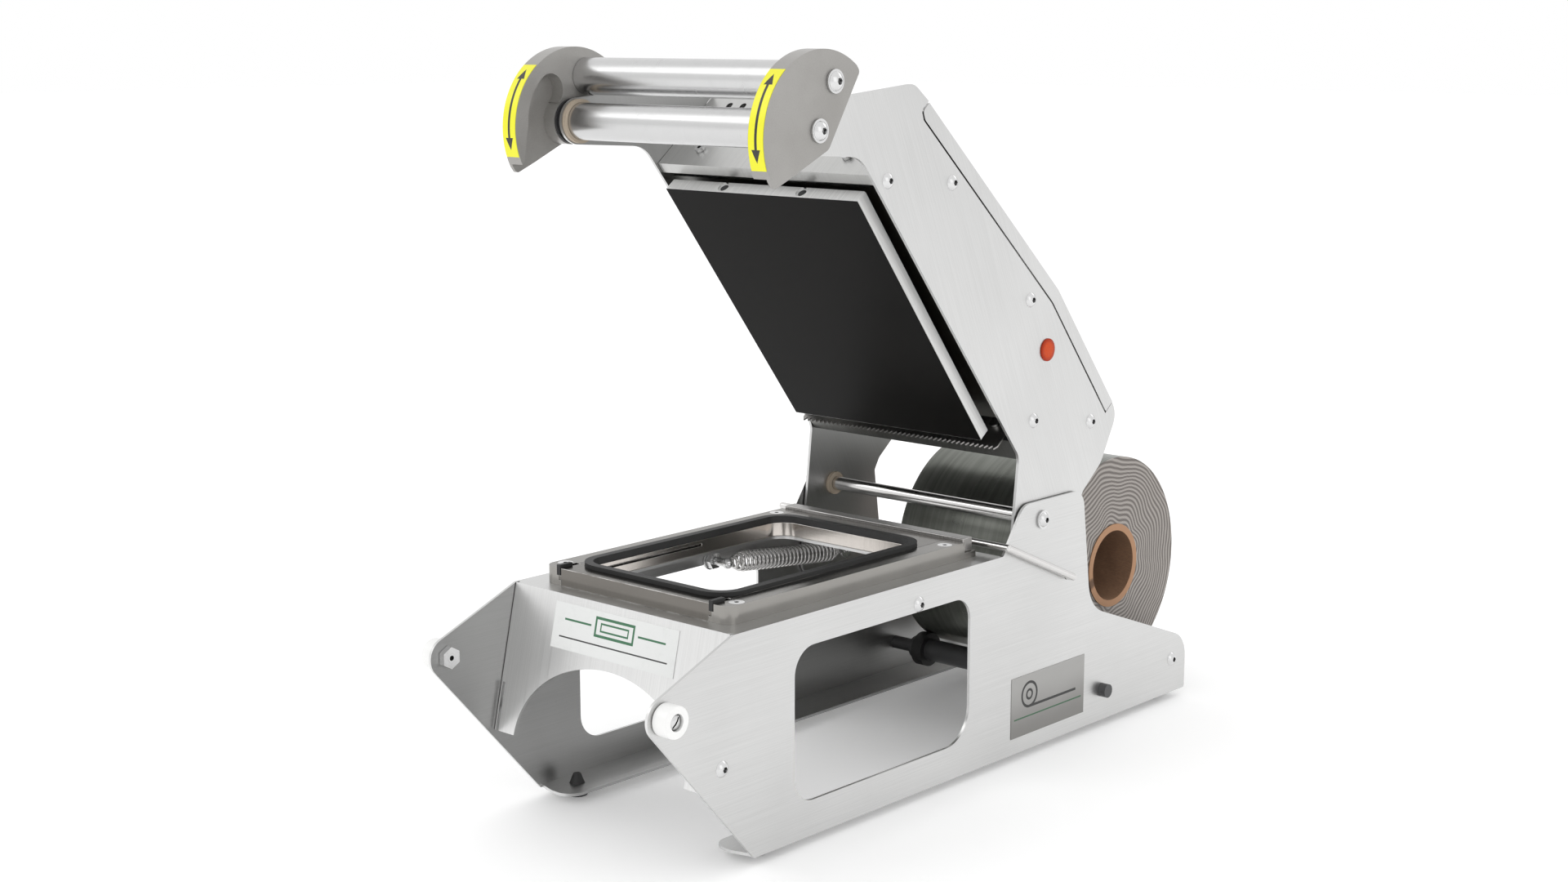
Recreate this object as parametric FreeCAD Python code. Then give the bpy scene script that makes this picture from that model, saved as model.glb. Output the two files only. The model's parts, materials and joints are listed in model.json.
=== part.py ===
import FreeCAD, Part
import math
import os

# Manual tray sealer: a folded steel base, a tray mould with a rubber seal, a hinged heated arm
# with a latch handle, and a film roll lying on two rollers.
# Millimetres. X across (the label side is +X), Y towards the rear, Z up.
# Points are written from the lower front tip of the base panels; place() moves them so that the
# part stands on Z = 0 with the middle of its length at Y = 0.

V = FreeCAD.Vector

# base
half_width = 98.0            # outer face of the side panels
sheet = 2.0                  # thickness of the folded base sheet
top_z = 144.6                # upper face of the top plate
top_front_y = -18.0
top_rear_y = 250.0
panel_rear_y = 487.0
flange_width = 34.0
foot_height = 6.0
foot_radius = 7.5
length_middle_y = 209.5
front_foot_y = -39.4         # lower edge of the sloping front plate
front_foot_z = 49.8

# latch rollers
roller_y = -77.0
roller_z = 106.7
roller_radius = 10.0
roller_inner_x = 98.4
roller_outer_x = 109.2
stud_radius = 3.0

# arm hinge and turning
hinge_y = 295.0
hinge_z = 163.4
hinge_rod_radius = 5.0
arm_lean = 51.06             # how far the level arm is swung up at rest
closing_turn = 52.1          # swing from rest until the plate lies level on the seal
arm_outer_x = 95.0
arm_inner_x = 93.0

# handle
pivot_y = -79.3
pivot_z = 139.8
grip_y = -92.8
grip_z = 168.3
tube_radius = 12.0
tube_wall = 1.5
cheek_inner_x = 100.0
cheek_floor_x = 110.0
cheek_outer_x = 112.5
cheek_arc_centre = (-73.6, 140.2)
cheek_arc_radius = 51.5

# tray mould and seal
mould_x = 83.0
mould_front_y = -5.5
mould_rear_y = 240.2
mould_top_z = 156.2
opening_x = 61.5
opening_front_y = 11.6
opening_rear_y = 201.0
opening_radius = 14.0
seal_width = 6.2
seal_top_z = 158.9
seal_bottom_z = 154.2
rail_split_x = 68.2

# heating plate, given as it lies when the arm is closed
plate_x = 84.0
plate_front_y = 0.4
plate_rear_y = 214.5
plate_face_z = 159.2
plate_thickness = 9.0
coat = 0.3

# film
roll_y = 426.0
roll_z = 102.5
roll_radius = 82.0
roll_half = 70.0
core_outer = 31.5
core_inner = 26.5
front_axle_y = 374.0
front_axle_z = 23.0
ring_radius = 13.0
rear_rod_y = 468.0
rear_rod_z = 26.0

os.makedirs("parts", exist_ok=True)


def box(x0, x1, y0, y1, z0, z1):
    return Part.makeBox(x1 - x0, y1 - y0, z1 - z0, V(x0, y0, z0))


def rod(x0, x1, y, z, radius):
    return Part.makeCylinder(radius, x1 - x0, V(x0, y, z), V(1, 0, 0))


def tube(x0, x1, y, z, outer, inner):
    return rod(x0, x1, y, z, outer).cut(rod(x0 - 1, x1 + 1, y, z, inner))


def post(x, y, z0, z1, radius):
    return Part.makeCylinder(radius, z1 - z0, V(x, y, z0), V(0, 0, 1))


def joined(first, *others):
    return first.fuse(list(others)).removeSplitter()


def group(solids):
    return Part.makeCompound(solids)


def mirrored(shape):
    return shape.mirror(V(0, 0, 0), V(1, 0, 0))


def both(shape):
    return group([shape, mirrored(shape)])


def outline_face(corners, to_point):
    """Flat face from corners (a, b) or (a, b, radius); to_point turns (a, b) into a vector."""
    edges = []
    starts = []
    count = len(corners)
    for i in range(count):
        here = corners[i]
        before = corners[i - 1]
        after = corners[(i + 1) % count]
        p = V(here[0], here[1], 0)
        radius = here[2] if len(here) > 2 else 0
        if radius == 0:
            starts.append((p, None, p))
            continue
        u = V(before[0], before[1], 0).sub(p).normalize()
        w = V(after[0], after[1], 0).sub(p).normalize()
        half = u.getAngle(w) / 2
        reach = radius / math.tan(half)
        centre = p.add(u.add(w).normalize().multiply(radius / math.sin(half)))
        middle = centre.add(p.sub(centre).normalize().multiply(radius))
        starts.append((p.add(u.multiply(reach)), middle, p.add(w.multiply(reach))))
    for i in range(count):
        first, middle, last = starts[i]
        if middle is not None:
            edges.append(Part.Arc(to_point(first), to_point(middle), to_point(last)).toShape())
        nxt = starts[(i + 1) % count][0]
        if last.distanceToPoint(nxt) > 1e-6:
            edges.append(Part.makeLine(to_point(last), to_point(nxt)))
    return Part.Face(Part.Wire(edges))


def side_plate(corners, x0, x1):
    """Plate standing across X, with its outline given in (y, z)."""
    face = outline_face(corners, lambda p: V(x0, p.x, p.y))
    return face.extrude(V(x1 - x0, 0, 0))


def flat_plate(corners, z0, z1):
    """Plate lying flat, with its outline given in (x, y)."""
    face = outline_face(corners, lambda p: V(p.x, p.y, z0))
    return face.extrude(V(0, 0, z1 - z0))


def rounded_block(x0, x1, y0, y1, z0, z1, radius):
    return flat_plate([(x0, y0, radius), (x1, y0, radius), (x1, y1, radius), (x0, y1, radius)], z0, z1)


def button_screw(x, y, z, head_radius, shank_radius, shank):
    """Domed screw along X: its head stands on the face at x, its shank goes inwards."""
    height = head_radius * 0.55
    ball = (head_radius ** 2 + height ** 2) / (2 * height)
    dome = Part.makeSphere(ball, V(x - (ball - height), y, z))
    head = dome.common(rod(x, x + height + 1, y, z, head_radius + 0.01))
    socket = side_plate(hexagon(y, z, head_radius * 0.38), x + height * 0.35, x + height + 1)
    return joined(head.cut(socket), rod(x - shank, x + 0.05, y, z, shank_radius))


def hexagon(a, b, radius, turn=0):
    return [(a + radius * math.cos(math.radians(60 * k + turn)),
             b + radius * math.sin(math.radians(60 * k + turn))) for k in range(6)]


def swing_up(shape, degrees):
    """Turn a level piece of the arm up about the hinge."""
    turned = shape.copy()
    turned.rotate(V(0, hinge_y, hinge_z), V(1, 0, 0), -degrees)
    return turned


def place(name, shape):
    shape = shape.copy()
    shape.translate(V(0, -length_middle_y, foot_height))
    shape.exportStep("parts/" + name + ".step")


def place_arm(name, shape):
    place(name, swing_up(shape, arm_lean))


def place_plate(name, shape):
    place(name, swing_up(shape, closing_turn))


# ---------------------------------------------------------------- base chassis

panel_corners = [
    (0, 0),
    (panel_rear_y, 0, 2),
    (panel_rear_y, 40.2, 22),
    (356.3, 88.2, 28),
    (344.5, 176.9, 13),
    (273.1, 176.9, 14),
    (250.5, top_z, 3),
    (-17.5, top_z, 4),
    (-98.9, 111.4, 13),
]
window_corners = [(37, 23.3, 18), (214.4, 23.3, 24), (214.4, 124, 16), (37, 124, 18)]
inner_x = half_width - sheet
front_screw = (-28, 64)
right_screw = (159, 129)
spring_hook_front = (163.5, 127.0)
stub_hole = 5.05

panel = side_plate(panel_corners, inner_x, half_width)
panel = panel.cut(side_plate(window_corners, inner_x - 1, half_width + 1))
for y, z in [front_screw, (rear_rod_y, rear_rod_z)]:
    panel = panel.cut(rod(inner_x - 1, half_width + 1, y, z, 3.05))
for y, z, radius in [(hinge_y, hinge_z, 3.05), (roller_y, roller_z, stud_radius + 0.05),
                     (front_axle_y, front_axle_z, stub_hole), (326.4, 117.4, 2.8)]:
    panel = panel.cut(rod(inner_x - 1, half_width + 1, y, z, radius))
right_panel = panel.cut(rod(inner_x - 1, half_width + 1, right_screw[0], right_screw[1], 3.05))
left_hole = rod(-half_width - 1, -inner_x + 1, spring_hook_front[0], spring_hook_front[1], 3.05)
left_panel = mirrored(panel).cut(left_hole)

# flange folded inwards along the bottom, its front corner cut back
flange_inner = half_width - flange_width
flange = flat_plate([(half_width - 0.2, 1.5), (half_width - 0.2, panel_rear_y - 2),
                     (flange_inner, panel_rear_y - 2, 8), (flange_inner, -3, 12), (82, -3, 10)], 0, sheet)
foot_places = [(81, 19), (81, 462)]
for x, y in foot_places:
    flange = flange.cut(post(x, y, -1, sheet + 1, 3.3))

top_plate = box(-half_width + 0.5, half_width - 0.5, top_front_y, top_rear_y, top_z - sheet, top_z)
top_plate = top_plate.cut(rounded_block(-60.5, 60.5, 12.6, 200, top_z - 5, top_z + 5, 13))
mould_screw_places = [(76.5, 8), (76.5, 213), (-76.5, 8), (-76.5, 213)]
for x, y in mould_screw_places:
    top_plate = top_plate.cut(post(x, y, top_z - 5, top_z + 5, 2.05))
# corner relief notches at the front fold
for side in (-1, 1):
    top_plate = top_plate.cut(post(side * (half_width - 1), top_front_y - 1, top_z - 5, top_z + 5, 4))

# sloping front plate with an arch cut out of its lower edge
slope = math.atan2(top_front_y - front_foot_y, top_z - front_foot_z)
front_length = math.hypot(top_front_y - front_foot_y, top_z - front_foot_z)
front_half = inner_x - 0.5
front_plate = box(-front_half, front_half, 0, sheet, -front_length, 0)
arch = Part.Face(Part.Wire(Part.Ellipse(V(0, 0, 0), 77, 56).toShape())).extrude(V(0, 0, 20))
arch.rotate(V(0, 0, 0), V(1, 0, 0), 90)
arch.translate(V(0, 10, -front_length))
front_plate = front_plate.cut(arch)
for side in (-1, 1):
    tab = box(side * 96 - 4, side * 96 + 4, -1, sheet + 1, -front_length - 1, -front_length + 32)
    front_plate = front_plate.cut(tab.cut(box(side * 94.5 - 2, side * 94.5 + 0.3, -2, 4, -200, 0)))
front_plate.rotate(V(0, 0, 0), V(1, 0, 0), -math.degrees(slope))
front_plate.translate(V(0, top_front_y, top_z))
front_plate = front_plate.cut(box(-200, 200, -200, 200, top_z, top_z + 10))

chassis = joined(top_plate, front_plate, right_panel, left_panel, flange, mirrored(flange))
place("base_chassis", chassis)

feet = []
for side in (-1, 1):
    for x, y in foot_places:
        under = V(side * x, y, -foot_height)
        pad = Part.makeCone(foot_radius - 0.6, foot_radius, foot_height, under, V(0, 0, 1))
        neck = post(side * x, y, -1, sheet + 0.3, 3.25)
        plug = Part.makeCone(5.2, 2.6, 6.5, V(side * x, y, sheet + 0.02), V(0, 0, 1))
        feet.append(joined(pad.cut(box(-200, 200, -200, 900, -0.02, 5)), neck, plug))
place("rubber_feet", group(feet))

# labels: thin blank plates stuck on the front plate and on the side panel
front_label = box(-55, 55, -0.35, -0.02, -34.6, -5.2)
front_label.rotate(V(0, 0, 0), V(1, 0, 0), -math.degrees(slope))
front_label.translate(V(0, top_front_y, top_z))
place("front_label", front_label)
side_label_corners = [(262.5, 11.5), (350.5, 11.5), (350.5, 55), (262.5, 55)]
side_label = side_plate(side_label_corners, half_width + 0.02, half_width + 0.35)
place("side_label", side_label)

# ---------------------------------------------------------------- latch rollers and fasteners

stud_end_x = 91.0
studs = []
nuts = []
rollers = []
for side in (-1, 1):
    stud = rod(stud_end_x, roller_outer_x - 1.6, roller_y, roller_z, stud_radius)
    stud = stud.cut(rod(stud_end_x - 1, stud_end_x + 4, roller_y, roller_z, 1.7))
    dome = Part.makeSphere(9, V(roller_outer_x - 0.4 - 9, roller_y, roller_z))
    head = rod(roller_outer_x - 2.8, roller_outer_x, roller_y, roller_z, 5).common(dome)
    slot = box(roller_outer_x - 1.6, roller_outer_x + 1, roller_y - 0.6, roller_y + 0.6,
               roller_z - 8, roller_z + 8)
    slot.rotate(V(0, roller_y, roller_z), V(1, 0, 0), -40)
    stud = joined(stud, head).cut(slot)
    nut = side_plate(hexagon(roller_y, roller_z, 7.3, 30), stud_end_x, inner_x - 0.05)
    nut = nut.cut(rod(80, 120, roller_y, roller_z, stud_radius + 0.03))
    roller = tube(roller_inner_x, roller_outer_x, roller_y, roller_z, roller_radius, stud_radius + 0.06)
    roller = roller.cut(rod(roller_outer_x - 3, 120, roller_y, roller_z, 5.3))
    rim = [e for e in roller.Edges if abs(e.Length - 2 * math.pi * roller_radius) < 0.01]
    roller = roller.makeFillet(0.8, rim)
    studs.append(stud if side > 0 else mirrored(stud))
    nuts.append(nut if side > 0 else mirrored(nut))
    rollers.append(roller if side > 0 else mirrored(roller))
place("latch_roller_studs", group(studs))
place("latch_stud_nuts", group(nuts))
place("latch_roller_left", rollers[0])
place("latch_roller_right", rollers[1])

panel_screws = []
panel_nuts = []
for y, z in [front_screw, right_screw]:
    panel_screws.append(button_screw(half_width + 0.02, y, z, 5.25, 3, 9))
    nut = side_plate(hexagon(y, z, 5.6), 91.4, inner_x - 0.05).cut(rod(80, 120, y, z, 3.03))
    panel_nuts.append(nut)
panel_screws.append(mirrored(panel_screws[0]))
panel_nuts.append(mirrored(panel_nuts[0]))
spring_nut = side_plate(hexagon(spring_hook_front[0], spring_hook_front[1], 6.2), 89.8, 94.4)
panel_nuts.append(mirrored(spring_nut.cut(rod(80, 120, spring_hook_front[0], spring_hook_front[1], 3.03))))
place("panel_screws", group(panel_screws))
place("panel_nuts", group(panel_nuts))

rear_rod = tube(-inner_x + 0.05, inner_x - 0.05, rear_rod_y, rear_rod_z, 5.2, 3.03)
rear_screw = button_screw(half_width + 0.02, rear_rod_y, rear_rod_z, 5.25, 3, 16)
place("rear_support_rod", rear_rod)
place("rear_rod_screws", both(rear_screw))

# ---------------------------------------------------------------- tray mould and seal


def ring_of(offset, z0, z1):
    return rounded_block(-opening_x - offset, opening_x + offset, opening_front_y - offset,
                         opening_rear_y + offset, z0, z1, opening_radius + offset)


mould_bottom = top_z + 0.02
mould = box(-rail_split_x, rail_split_x, mould_front_y, mould_rear_y, mould_bottom, mould_top_z)
mould = mould.cut(ring_of(0, 0, 300))
mould = mould.cut(ring_of(seal_width + 0.05, seal_bottom_z, 300))
rear_step_y = 226.5
bar_bottom = 149.0
mould = mould.cut(box(-200, 200, rear_step_y, 400, bar_bottom, 300))
mould = mould.cut(box(-opening_x - 3, -opening_x + 3, 30, 120, 150, 151.6))
for side in (-1, 1):
    # stepped foot under each rail and the groove of the seal strip
    mould = mould.cut(box(side * 67 - 1.3, side * 67 + 1.3, -20, rear_step_y, mould_bottom - 1, 148.6))
    mould = mould.cut(box(side * 68 - 1.8, side * 68 + 1.8, -20, opening_front_y, 151.5, 300))

rail = flat_plate([(rail_split_x + 0.1, mould_front_y), (mould_x, mould_front_y, 9),
                   (mould_x, mould_rear_y, 2), (rail_split_x + 0.1, mould_rear_y)], mould_bottom, mould_top_z)
toe = box(65.9, rail_split_x + 0.2, mould_front_y, rear_step_y - 0.5, mould_bottom, 148.4)
rail = joined(rail, toe)
rail = rail.cut(box(0, 200, rear_step_y, 400, bar_bottom, 300))
rail = rail.cut(box(60, 69.9, -20, opening_front_y, 151.5, 300))
rail = rail.cut(ring_of(seal_width + 0.05, seal_bottom_z, 300))
screw_head = 5.0
for x, y in mould_screw_places[:2]:
    rail = rail.cut(post(x, y, 100, 200, 2.05))
    rail = rail.cut(Part.makeCone(2.05, screw_head + 0.06, 3.0, V(x, y, mould_top_z - 3.0), V(0, 0, 1)))
place("tray_mould", mould)
place("mould_rail_right", rail)
place("mould_rail_left", mirrored(rail))

seal = ring_of(seal_width, seal_bottom_z + 0.02, seal_top_z).cut(ring_of(0.6, 0, 300))
place("seal_ring", seal)
strip = box(66.4, 69.6, mould_front_y - 0.4, 5.0, 151.55, seal_top_z - 0.6)
strip = strip.cut(ring_of(seal_width + 0.1, 0, 300))
place("seal_strips", both(strip))

mould_screws = []
mould_nuts = []
for x, y in mould_screw_places:
    screw = joined(post(x, y, top_z - 7, mould_top_z - 2, 2.0),
                   Part.makeCone(2.0, screw_head, 3.0, V(x, y, mould_top_z - 3.05), V(0, 0, 1)))
    mould_screws.append(screw.cut(flat_plate(hexagon(x, y, 1.6), mould_top_z - 1.6, 200)))
    nut = flat_plate(hexagon(x, y, 4.0), top_z - sheet - 3.25, top_z - sheet - 0.05)
    mould_nuts.append(nut.cut(post(x, y, 100, 200, 2.03)))
place("mould_screws", group(mould_screws))
place("mould_nuts", group(mould_nuts))
bar = box(-81, 81, rear_step_y + 0.6, 237.4, bar_bottom + 0.02, 158.3)
place("rear_cutting_bar", bar)

# ---------------------------------------------------------------- film guide

guide_radius = 2.6
guide_x = 103.0
guide_stub_x = 95.6
bend = V(guide_x, 249.0, 151.5)
pivot_end = V(guide_x, 326.4, 117.4)
cross = rod(-guide_x, guide_x, bend.y, bend.z, guide_radius)
guide_parts = [cross]
for side in (-1, 1):
    start = V(side * guide_x, bend.y, bend.z)
    finish = V(side * guide_x, pivot_end.y, pivot_end.z)
    run = finish.sub(start)
    guide_parts.append(Part.makeCylinder(guide_radius, run.Length, start, run))
    guide_parts.append(Part.makeSphere(guide_radius, start))
    guide_parts.append(Part.makeSphere(guide_radius, finish))
    x0 = min(side * guide_stub_x, side * guide_x)
    guide_parts.append(rod(x0, x0 + guide_x - guide_stub_x, pivot_end.y, pivot_end.z, guide_radius))
place("film_guide", joined(*guide_parts))

# ---------------------------------------------------------------- hinge

bush_bore = hinge_rod_radius + 0.05
hinge_rod = rod(-inner_x + 0.1, inner_x - 0.1, hinge_y, hinge_z, hinge_rod_radius)
hinge_rod = hinge_rod.cut(rod(80, 120, hinge_y, hinge_z, 3.03)).cut(rod(-120, -80, hinge_y, hinge_z, 3.03))
place("hinge_rod", hinge_rod)
hinge_screw = button_screw(half_width + 1.65, hinge_y, hinge_z, 5.25, 3, 15)
place("hinge_screws", both(hinge_screw))
hinge_washer = tube(half_width + 0.02, half_width + 1.6, hinge_y, hinge_z, 6.5, 3.05)
place("hinge_washers", both(hinge_washer))
bush = joined(rod(90.4, 92.95, hinge_y, hinge_z, 8.5), rod(90.4, arm_outer_x + 0.5, hinge_y, hinge_z, 6.5))
bush = bush.cut(rod(0, 200, hinge_y, hinge_z, bush_bore))
place_arm("hinge_bushes", both(bush))

# ---------------------------------------------------------------- arm, drawn level

nose_radius = 15.0
arm_bottom_z = 174.2
arm_corners = [
    (-91.8, 148.1),
    (-79.3, 139.8),
    (-68.2, 129.7),
    (-27.8, arm_bottom_z, 22),
    (243.0, arm_bottom_z, 12),
    (322.6, 93.5, 12),
    (369.4, 141.9, 14),
    (380.1, 167.9, 10),
    (323.1, 202.4, 4),
    (319.5, 212, 8),
    (319.5, 240, 20),
    (305.0, 276.0, 14),
    (294.6, 276.0),
    (294.6, 265.2),
    (185.0, 265.2, 20),
    (-5.2, 234.6, 4),
    (-11.3, 237.0, 3),
    (-11.3, 246.0),
    (-29.5, 241.5, 13),
]
spring_hook_y = 331.9
spring_hook_z = 129.7
arm_screw_places = [(1.0, 184.8), (45.5, 232.8), (166, 249), (235, 201), (286, 248.8)]
lamp_y = 207.0
lamp_z = 242.0
arm_plate = joined(side_plate(arm_corners, arm_inner_x, arm_outer_x),
                   rod(arm_inner_x, arm_outer_x, pivot_y, pivot_z, nose_radius))
arm_plate = arm_plate.cut(rod(80, 120, hinge_y, hinge_z, 6.55))
arm_plate = arm_plate.cut(rod(80, 120, pivot_y, pivot_z, tube_radius + 1.55))
for y, z in arm_screw_places:
    arm_plate = arm_plate.cut(rod(80, 120, y, z, 3.05))
arm_plate_left = mirrored(arm_plate).cut(rod(-120, -80, spring_hook_y, spring_hook_z, 3.05))
arm_plate_right = arm_plate.cut(rod(80, 120, lamp_y, lamp_z, 7.2))
place_arm("arm_plate_left", arm_plate_left)
place_arm("arm_plate_right", arm_plate_right)

# folded cover with lips lying flush in the steps of the side plates
lip_corners = [(-10.0, 245.9, 3), (183.0, 276.6, 25), (294.2, 276.6), (294.2, 266.6), (185.2, 266.6, 20),
               (-4.0, 236.1, 3), (-10.0, 238.0, 3)]
cover_skin = side_plate([(-10.0, 245.9), (183.0, 276.6, 25), (294.2, 276.6), (294.2, 275.1),
                         (183.2, 275.1, 23.5), (-10.0, 244.4)], -arm_outer_x, arm_outer_x)
lip = side_plate(lip_corners, arm_outer_x - 1.5, arm_outer_x)
place_arm("arm_cover", joined(cover_skin, lip, mirrored(lip)))

inside = arm_inner_x - 0.3
wall_y = -11.0
front_wall = box(-inside, inside, wall_y, wall_y + 1.5, 176.2, 243.4)
wall_keep = [(-40, 100), (40, 100), (40, 250.5), (-9.0, 243.0), (-40, 240.0)]
front_wall = front_wall.common(side_plate(wall_keep, -200, 200))
hem = box(-inside, inside, wall_y, -3, 176.2, 177.7)
front_wall = joined(front_wall, hem)
wall_screw_places = [(-64, 191.6), (64, 191.6)]
for x, z in wall_screw_places:
    front_wall = front_wall.cut(Part.makeCylinder(2.05, 40, V(x, -30, z), V(0, 1, 0)))
for x in (-70.6, -58.1):
    vent = rounded_block(x - 2.4, x + 2.4, -3.6, 3.6, 0, 10, 2.3)
    vent.rotate(V(x, 0, 0), V(1, 0, 0), 90)
    vent.translate(V(0, wall_y + 5, 235.2))
    front_wall = front_wall.cut(vent)
place_arm("arm_front_wall", front_wall)
wall_screws = []
for x, z in wall_screw_places:
    head = Part.makeCylinder(3.6, 2.6, V(x, wall_y - 2.62, z), V(0, 1, 0))
    shank = Part.makeCylinder(2.0, 10, V(x, wall_y - 0.1, z), V(0, 1, 0))
    socket = Part.makeCylinder(1.5, 1.4, V(x, wall_y - 2.7, z), V(0, 1, 0))
    wall_screws.append(joined(head, shank).cut(socket))
place_arm("front_wall_screws", group(wall_screws))

# carrier sheet that the heater hangs under, and the cross plate with the film knife
carrier_z = 182.0
carrier = box(-inside, inside, 5, 214, carrier_z, carrier_z + 1.5)
pin_places = [(-60, 30, 170.4), (60, 30, 170.4), (-60, 185, 167.5), (60, 185, 167.5)]   # x, y, lower end
for x, y, _ in pin_places:
    carrier = carrier.cut(post(x, y, 100, 300, 3.05))
place_arm("heater_carrier", carrier)
cross_plate = joined(box(-inside, inside, 227.5, 246, arm_bottom_z, arm_bottom_z + 2),
                     box(-inside, inside, 227.5, 229.5, arm_bottom_z, arm_bottom_z + 26))
knife_bolt_x = [-75, -25, 25, 75]
for x in knife_bolt_x:
    cross_plate = cross_plate.cut(Part.makeCylinder(2.05, 40, V(x, 210, 186), V(0, 1, 0)))
place_arm("cross_plate", cross_plate)

tooth = 4.0
blade_half = 88.0
blade_points = [(-blade_half, 192.0)]
teeth = int(2 * blade_half / tooth)
for k in range(teeth):
    blade_points.append((-blade_half + k * tooth, 167.4))
    blade_points.append((-blade_half + (k + 0.5) * tooth, 164.6))
blade_points.append((blade_half, 167.4))
blade_points.append((blade_half, 192.0))
knife_y = 226.2
blade = outline_face(blade_points, lambda p: V(p.x, knife_y, p.y)).extrude(V(0, 1.2, 0))
for x in knife_bolt_x:
    blade = blade.cut(Part.makeCylinder(2.05, 40, V(x, 210, 186), V(0, 1, 0)))
place_arm("serrated_knife", blade)
knife_bolts = []
for x in knife_bolt_x:
    head = Part.makeCylinder(3.5, 2.2, V(x, knife_y - 2.25, 186), V(0, 1, 0))
    shank = Part.makeCylinder(2.0, 12, V(x, knife_y - 0.2, 186), V(0, 1, 0))
    knife_bolts.append(joined(head, shank))
place_arm("knife_bolts", group(knife_bolts))

guide_pins = []
for x, y, low in pin_places:
    collar = post(x, y, carrier_z + 1.55, carrier_z + 5.5, 5.5)
    guide_pins.append(joined(post(x, y, low, carrier_z + 8, 3.0), collar))
place_arm("guide_pins", group(guide_pins))

arm_screws = []
for y, z in arm_screw_places:
    arm_screws.append(button_screw(arm_outer_x + 0.02, y, z, 5.25, 3, 7))
place_arm("arm_screws", both(group(arm_screws)))
lamp_body = joined(rod(80, arm_outer_x + 0.1, lamp_y, lamp_z, 7.1),
                   rod(arm_outer_x + 0.02, arm_outer_x + 1.2, lamp_y, lamp_z, 8.0))
place_arm("indicator_lamp", lamp_body)
regulator_z = carrier_z + 1.6
regulator = joined(box(-20, 20, 100, 140, regulator_z, regulator_z + 20),
                   post(0, 120, regulator_z + 19, regulator_z + 26, 11))
place_arm("temperature_regulator", regulator)

handle_bush = joined(rod(90.2, arm_inner_x - 0.05, pivot_y, pivot_z, 14.2),
                     rod(90.2, arm_outer_x - 0.1, pivot_y, pivot_z, tube_radius + 1.5))
handle_bush = handle_bush.cut(rod(0, 200, pivot_y, pivot_z, tube_radius + 0.06))
place_arm("handle_bushes", both(handle_bush))

# ---------------------------------------------------------------- return spring and its bolts

spring_x = -82.0
front_hook = V(spring_x, spring_hook_front[0], spring_hook_front[1])
rear_hook_level = V(spring_x, spring_hook_y, spring_hook_z)
rear_bolt = joined(rod(-97.2, -78, spring_hook_y, spring_hook_z, 3.0),
                   rod(-92.9, -91.0, spring_hook_y, spring_hook_z, 6.5),
                   rod(-79.5, -77.5, spring_hook_y, spring_hook_z, 5.0))
rear_bolt = rear_bolt.cut(rod(-98, -95.9, spring_hook_y, spring_hook_z, 7))
place_arm("spring_rear_bolt", rear_bolt)
front_bolt = mirrored(button_screw(half_width + 0.02, front_hook.y, front_hook.z, 5.25, 3, 20))
front_bolt = joined(front_bolt, Part.makeSphere(3.9, V(-78.5, front_hook.y, front_hook.z)))
front_washer = tube(-95.95, -94.45, front_hook.y, front_hook.z, 7.0, 3.03)
place("spring_front_bolt", group([front_bolt, front_washer]))

marker = Part.makeSphere(1, rear_hook_level)
rear_hook = swing_up(marker, arm_lean).CenterOfMass
run = rear_hook.sub(front_hook)
along = V(run).normalize()
eye = 4.2
body_start = front_hook.add(V(along).multiply(15))
body_end = rear_hook.sub(V(along).multiply(15))
coil = Part.makeCylinder(7.8, body_end.sub(body_start).Length, body_start, along)
coil = coil.cut(Part.makeCylinder(5.8, 400, front_hook, along))
cone_front = Part.makeCone(3.0, 7.8, 9, body_start.sub(V(along).multiply(9)), along)
cone_rear = Part.makeCone(7.8, 3.0, 9, body_end, along)
cones = [cone_front.cut(Part.makeCone(1.0, 5.8, 9, body_start.sub(V(along).multiply(9)), along)),
         cone_rear.cut(Part.makeCone(5.8, 1.0, 9, body_end, along))]
hooks = [Part.makeTorus(eye, 0.9, front_hook, V(1, 0, 0)), Part.makeTorus(eye, 0.9, rear_hook, V(1, 0, 0))]
links = [Part.makeCylinder(0.9, 3.4, front_hook.add(V(along).multiply(eye)), along),
         Part.makeCylinder(0.9, 3.4, rear_hook.sub(V(along).multiply(eye)), along.negative())]
place("return_spring", joined(coil, *(cones + hooks + links)))

# ---------------------------------------------------------------- heating plate, drawn closed

plate_top = plate_face_z + coat + plate_thickness
plate = box(-plate_x, plate_x, plate_front_y, plate_rear_y, plate_face_z + coat + 0.01, plate_top)
uprights = [e for e in plate.Edges if e.BoundBox.ZLength > 5]
plate = plate.makeFillet(1.5, uprights)
end_screw_places = [(-34, 164.4), (34, 164.4)]
pin_hole = 3.6
for x, z in end_screw_places:
    plate = plate.cut(Part.makeCylinder(3.0, 12, V(x, -5, z), V(0, 1, 0)))
    plate = plate.cut(Part.makeCylinder(4.2, 1.2, V(x, plate_front_y - 0.2, z), V(0, 1, 0)))
pin_hole_floor = 161.0
for x, y, _ in pin_places:
    plate = plate.cut(post(x, y, pin_hole_floor, plate_top + 1, pin_hole))
place_plate("heating_plate", plate)
place_plate("nonstick_sheet", box(-plate_x + 0.5, plate_x - 0.5, plate_front_y + 0.5, plate_rear_y - 0.5,
                                  plate_face_z, plate_face_z + coat))
end_screws = []
for x, z in end_screw_places:
    end_screws.append(Part.makeCylinder(2.9, 5, V(x, plate_front_y + 1.2, z), V(0, 1, 0)))
place_plate("plate_end_screws", group(end_screws))
heater = []
for x in (-42, -14, 14, 42):
    heater.append(rounded_block(x - 12, x + 12, 20, 195, plate_top + 0.02, plate_top + 1.2, 6))
place_plate("heater_elements", group(heater))
pad_bottom = plate_top + 1.25
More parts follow.
